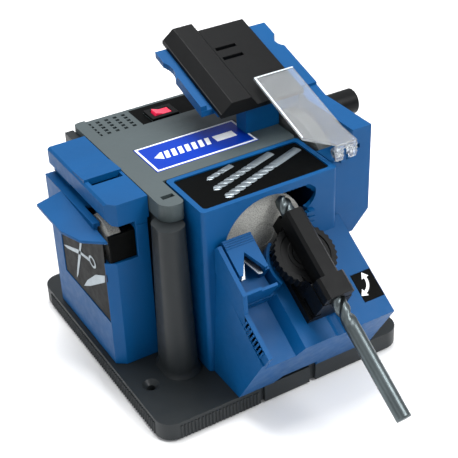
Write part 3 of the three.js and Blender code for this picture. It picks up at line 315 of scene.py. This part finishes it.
def prism(bm, outline, place, thickness):
    """Adds a closed prism to bm; place turns an outline point and a height into a vector."""
    low = [bm.verts.new(place(u, v, 0.0)) for u, v in outline]
    high = [bm.verts.new(place(u, v, thickness)) for u, v in outline]
    bm.faces.new(list(reversed(low)))
    bm.faces.new(high)
    count = len(outline)
    for i in range(count):
        j = (i + 1) % count
        bm.faces.new((low[i], low[j], high[j], high[i]))


def flat_ring(bm, cu, cv, outer, inner, place, thickness, sides=28, squeeze=1.0):
    """Adds a closed flat ring to bm."""
    loops = []
    for radius, height in ((outer, 0.0), (outer, thickness), (inner, thickness), (inner, 0.0)):
        loop = []
        for i in range(sides):
            a = 2 * math.pi * i / sides
            u = cu + radius * math.cos(a)
            v = cv + squeeze * radius * math.sin(a)
            loop.append(bm.verts.new(place(u, v, height)))
        loops.append(loop)
    for k in range(4):
        a, b = loops[k], loops[(k + 1) % 4]
        for i in range(sides):
            j = (i + 1) % sides
            bm.faces.new((a[i], a[j], b[j], b[i]))


def relief(name, place, thickness, material, body, outlines=(), rings=()):
    """One thin raised print made of outlines and rings."""
    bm = bmesh.new()
    for outline in outlines:
        prism(bm, outline, place, thickness)
    for cu, cv, outer, inner, squeeze in rings:
        flat_ring(bm, cu, cv, outer, inner, place, thickness, squeeze=squeeze)
    bmesh.ops.recalc_face_normals(bm, faces=bm.faces)
    mesh = bpy.data.meshes.new(name)
    bm.to_mesh(mesh)
    bm.free()
    return piece(name, mesh, material, body)


def rectangle(u0, u1, v0, v1):
    return [(u0, v0), (u1, v0), (u1, v1), (u0, v1)]


def turned(outline, angle, cu, cv):
    c, s = math.cos(math.radians(angle)), math.sin(math.radians(angle))
    return [(cu + u * c - v * s, cv + u * s + v * c) for u, v in outline]


# ---------------------------------------------------------------- twist drills


def twist_drill(name, start, direction, side, radius, length, fluted, turns, material, body,
                flat=1.0, tip=3.0):
    """A two-flute twist drill from its tip at start along direction; flat squeezes it square to side."""
    direction = direction.normalized()
    side = side.normalized()
    normal = direction.cross(side).normalized()
    around = 36
    rings = 120
    bm = bmesh.new()
    previous = None
    first = None
    for i in range(rings + 1):
        t = length * i / rings
        spin = 2 * math.pi * turns * t / fluted
        deep = 1.0 if t < fluted * 0.9 else max(0.0, (fluted - t) / (fluted * 0.1))
        taper = min(1.0, 0.06 + t / tip)
        loop = []
        for k in range(around):
            a = 2 * math.pi * k / around
            groove = math.cos(2 * (a - spin))
            cut = max(0.0, groove - 0.1) ** 0.8 * 0.42 * deep
            land = 0.05 * deep if -0.75 > groove else 0.0
            r = radius * taper * (1 - cut - land)
            loop.append(bm.verts.new(
                start + direction * t * MM
                + side * r * math.cos(a) * MM + normal * r * math.sin(a) * flat * MM))
        if previous:
            for k in range(around):
                j = (k + 1) % around
                bm.faces.new((previous[k], previous[j], loop[j], loop[k]))
        else:
            first = loop
        previous = loop
    bm.faces.new(list(reversed(first)))
    bm.faces.new(previous)
    bmesh.ops.recalc_face_normals(bm, faces=bm.faces)
    mesh = bpy.data.meshes.new(name)
    bm.to_mesh(mesh)
    bm.free()
    return piece(name, mesh, material, body, smooth=True)


BIT_X, BIT_HEIGHT, BIT_TIP, BIT_LENGTH, BIT_RADIUS = 18.0, 26.5, -24.8, 161.7, 5.0
slope = on_ramp(0, 1, 0) - on_ramp(0, 0, 0)
bit = twist_drill(
    "twist_drill", on_ramp(BIT_X, BIT_TIP + 0.3, BIT_HEIGHT), slope, Vector((1, 0, 0)),
    BIT_RADIUS, BIT_LENGTH - 0.6, 98, 3.4, DRILL_STEEL, "drill_bit")
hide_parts("drill_bit")

TOP_PANEL_Z = 139.45
for i, (tip, end, radius) in enumerate((
        ((-19.0, -32.0), (4.0, -24.6), 2.3),
        ((-21.4, -45.0), (34.0, -25.6), 3.0),
        ((-19.8, -57.0), (52.0, -30.5), 3.3))):
    start = point(*tip, TOP_PANEL_Z)
    along = point(*end, TOP_PANEL_Z) - start
    length = along.length / MM
    across = Vector((-along.y, along.x, 0))
    printed = twist_drill(
        f"panel_drill_{i + 1}", start, along, across,
        radius, length, length * 0.7, length / 17, PRINT_STEEL, "station", flat=0.16)

# ---------------------------------------------------------------- prints and reliefs


def on_label(u, v, h):
    return point(u, v, 139.95 + h)


LABEL_BOX = (-41, 37, -6, 29)
x0, x1, y0, y1 = LABEL_BOX
edge = 1.4
relief("label_border", on_label, 0.22, PRINT, "station", [
    rectangle(x0 + 0.6, x1 - 0.6, y0 + 0.6, y0 + 0.6 + edge),
    rectangle(x0 + 0.6, x1 - 0.6, y1 - 0.6 - edge, y1 - 0.6),
    rectangle(x0 + 0.6, x0 + 0.6 + edge, y0 + 0.6 + edge, y1 - 0.6 - edge),
    rectangle(x1 - 0.6 - edge, x1 - 0.6, y0 + 0.6 + edge, y1 - 0.6 - edge),
])
flute = []
for i in range(7):
    left = -27 + i * 5.2
    flute.append([(left, 7), (left + 3.2, 7), (left + 5.6, 16), (left + 2.4, 16)])
relief("label_graphic", on_label, 0.22, PRINT, "station", [
    *flute,
    [(-34, 11.5), (-28.6, 7), (-26.2, 16), (-27.6, 16)],
    rectangle(12.5, 28, 7.6, 15.4),
])


def on_arrow(u, v, h):
    return on_ramp(u, v, 0.05 + h)


ARROW_CENTRE = (50.6, 41.2)
ARROW_MIDDLE = 30
ARROW_SPAN = 38
arc = []
for radius, order in ((9.6, 1), (7.6, -1)):
    angles = [ARROW_MIDDLE + ARROW_SPAN * (i / 7 - 1) for i in range(15)][::order]
    arc += [(ARROW_CENTRE[0] + radius * math.cos(math.radians(a)),
             ARROW_CENTRE[1] + radius * math.sin(math.radians(a))) for a in angles]
heads = []
for sign in (-1, 1):
    a = math.radians(ARROW_MIDDLE + ARROW_SPAN * sign)
    cu = ARROW_CENTRE[0] + 8.6 * math.cos(a)
    cv = ARROW_CENTRE[1] + 8.6 * math.sin(a)
    heads.append(turned([(-3.0, 0), (3.0, 0), (0, 4.2 * sign)], ARROW_MIDDLE + ARROW_SPAN * sign, cu, cv))
relief("arrow_print", on_arrow, 0.2, PRINT, "station", [arc, *heads])


def on_side(u, v, h):
    """The knife panel faces left: u runs forward, v up."""
    return point(-90.95 - h, -u, v)


PIVOT = (-20.0, 81.4)
blade = [(0, -1.6), (26, -0.5), (31, 0.2), (25, 1.7), (0, 1.9)]
long_blade = [(u * 0.98, v) for u, v in blade]
arm = [(0, -1.2), (0, 1.3), (-16, 1.3), (-16, -1.1)]
relief("scissors_blades", on_side, 0.3, PRINT_STEEL, "station", [
    turned(blade, 199, *PIVOT),
    turned(long_blade, 247, *PIVOT),
    turned(arm, 191, *PIVOT),
    turned(arm, 248, *PIVOT),
])
relief("scissors_handles", on_side, 0.22, PRINT_STEEL, "station",
       rings=[(0.6, 85.4, 5.4, 3.6, 0.8), (-14.2, 101.5, 5.0, 3.3, 0.8)])
relief("knife_blade", on_side, 0.3, PRINT_STEEL, "station", [
    [(-19.9, 53.4), (-8.0, 60.5), (18.6, 79.5), (19.8, 85.6), (4.0, 77.0), (-12.0, 63.0)],
])
relief("knife_handle", on_side, 0.38, BLACK, "station", [
    [(19.8, 80.4), (23.4, 82.6), (23.4, 88.4), (20.2, 86.6)],
])

# ---------------------------------------------------------------- rear strip and painted highlights on the guard's edges


def on_strip(u, v, h):
    return point(u, v, 138.78 + h)


SWITCH_BOX = (-9.8, 11.8, 59.4, 75.6)
u0, u1, v0, v1 = SWITCH_BOX
relief("rear_strip_gloss", on_strip, 0.3, PANEL, "station", [
    rectangle(-17, u0, 59, 84),
    rectangle(u1, 58, 59, 84),
    rectangle(u0 + 0.05, u1 - 0.05, v1, 84),
])


def painted_guard_highlight(name, a, b, width):
    """A painted highlight along the clear guard's edge, from a to b: a near-white strip in place of the
    light that the edge catches.
    """
    a, b = Vector(a), Vector(b)
    across = Vector((0, 0, 1)).cross(b - a).normalized() * width

    def place(u, v, h):
        p = a + (b - a) * u + across * v + Vector((0, 0, h))
        return point(p.x, p.y, p.z)

    relief(name, place, 0.35, GUARD_HIGHLIGHT, "guard", [rectangle(0, 1, 0, 1)])


GUARD_LOW = (45.2, -45.6, 156.65)
# painted highlights along the guard's left and back edges
painted_guard_highlight("painted_highlight_left", (45.2, 11.6, 176.5), GUARD_LOW, 1.1)
painted_guard_highlight("painted_highlight_back", (76.2, 11.8, 176.55), (45.4, 11.8, 176.55), 1.1)

# ---------------------------------------------------------------- ribs on the base plate's skirt


def ribs(name, start, step, count, outward):
    """Half-round vertical ribs along the skirt."""
    bm = bmesh.new()
    radius = 0.75
    for i in range(count):
        centre = start + step * i
        along = step.normalized()
        outline = []
        for k in range(7):
            a = math.pi * k / 6
            outline.append(centre + along * radius * math.cos(a) * MM + outward * radius * math.sin(a) * MM)
        outline.append(centre - along * radius * MM - outward * 0.3 * MM)
        outline.append(centre + along * radius * MM - outward * 0.3 * MM)
        low = [bm.verts.new(p + Vector((0, 0, 0.6 * MM))) for p in outline]
        high = [bm.verts.new(p + Vector((0, 0, 10.6 * MM))) for p in outline]
        bm.faces.new(low)
        bm.faces.new(list(reversed(high)))
        corners = len(outline)
        for k in range(corners):
            j = (k + 1) % corners
            bm.faces.new((low[k], high[k], high[j], low[j]))
    bmesh.ops.recalc_face_normals(bm, faces=bm.faces)
    mesh = bpy.data.meshes.new(name)
    bm.to_mesh(mesh)
    bm.free()
    obj = piece(name, mesh, DARK_GREY, "station", smooth=False)
    return obj


RIB_PITCH = 2.6
ribs("skirt_ribs_front", point(-82, BASE_FRONT, 0), Vector((RIB_PITCH, 0, 0)) * MM, 23, Vector((0, -1, 0)))
ribs("skirt_ribs_left", point(BASE_LEFT, -84, 0), Vector((0, RIB_PITCH, 0)) * MM, 64, Vector((-1, 0, 0)))
ribs("skirt_ribs_right", point(95, -84, 0), Vector((0, RIB_PITCH, 0)) * MM, 64, Vector((1, 0, 0)))

# ---------------------------------------------------------------- floor, light and camera


def plane(name, size, material):
    mesh = bpy.data.meshes.new(name)
    half = size / 2
    corners = [(-half, -half, 0), (half, -half, 0), (half, half, 0), (-half, half, 0)]
    mesh.from_pydata(corners, [], [(0, 1, 2, 3)])
    obj = bpy.data.objects.new(name, mesh)
    bpy.context.scene.collection.objects.link(obj)
    mesh.materials.append(material)
    return obj


floor_surface = Surface("floor_white")
floor_surface.color(floor_surface.noise(2, 2), (0.93, 0.93, 0.93, 1), (0.96, 0.96, 0.96, 1))
floor_surface.roughness(floor_surface.noise(30, 2), 0.7, 0.8)
floor = plane("floor", 12.0, floor_surface.material)
floor.location = (0, 0, -0.0002)


def area_light(name, place, target, size, energy):
    data = bpy.data.lights.new(name, "AREA")
    data.energy = energy
    data.size = size
    obj = bpy.data.objects.new(name, data)
    bpy.context.scene.collection.objects.link(obj)
    obj.location = place
    obj.rotation_euler = (Vector(target) - Vector(place)).to_track_quat("-Z", "Y").to_euler()
    return obj


TARGET = (0.0, 0.0, 0.08)
area_light("key", (0.7, -0.95, 1.35), TARGET, 0.7, 20)
area_light("fill", (-1.3, -0.8, 0.7), TARGET, 1.0, 4)
area_light("top", (0.0, 0.4, 1.5), TARGET, 0.9, 24)

world = bpy.data.worlds.new("studio")
world.use_nodes = True
world.node_tree.nodes["Background"].inputs["Color"].default_value = (0.95, 0.97, 1.0, 1)
world.node_tree.nodes["Background"].inputs["Strength"].default_value = 0.55
bpy.context.scene.world = world
bpy.context.scene.view_settings.view_transform = "Standard"

AZIMUTH, ELEVATION, ROLL = (math.radians(a) for a in (-29.784, 33.301, -2.278))
camera_data = bpy.data.cameras.new("camera")
camera_data.sensor_width = 36
camera_data.lens = 87.74
camera_data.clip_start = 0.05
camera_data.clip_end = 30
camera = bpy.data.objects.new("camera", camera_data)
bpy.context.scene.collection.objects.link(camera)
back = Vector((
    math.sin(AZIMUTH) * math.cos(ELEVATION),
    -math.cos(AZIMUTH) * math.cos(ELEVATION),
    math.sin(ELEVATION),
))
level = (-back).cross(Vector((0, 0, 1))).normalized()
upright = level.cross(-back)
right = level * math.cos(ROLL) + upright * math.sin(ROLL)
up = upright * math.cos(ROLL) - level * math.sin(ROLL)
camera.matrix_world = Matrix.Translation(point(-313.5, -572.8, 505.9)) @ Matrix((
    (right.x, up.x, back.x),
    (right.y, up.y, back.y),
    (right.z, up.z, back.z),
)).to_4x4()
bpy.context.scene.camera = camera
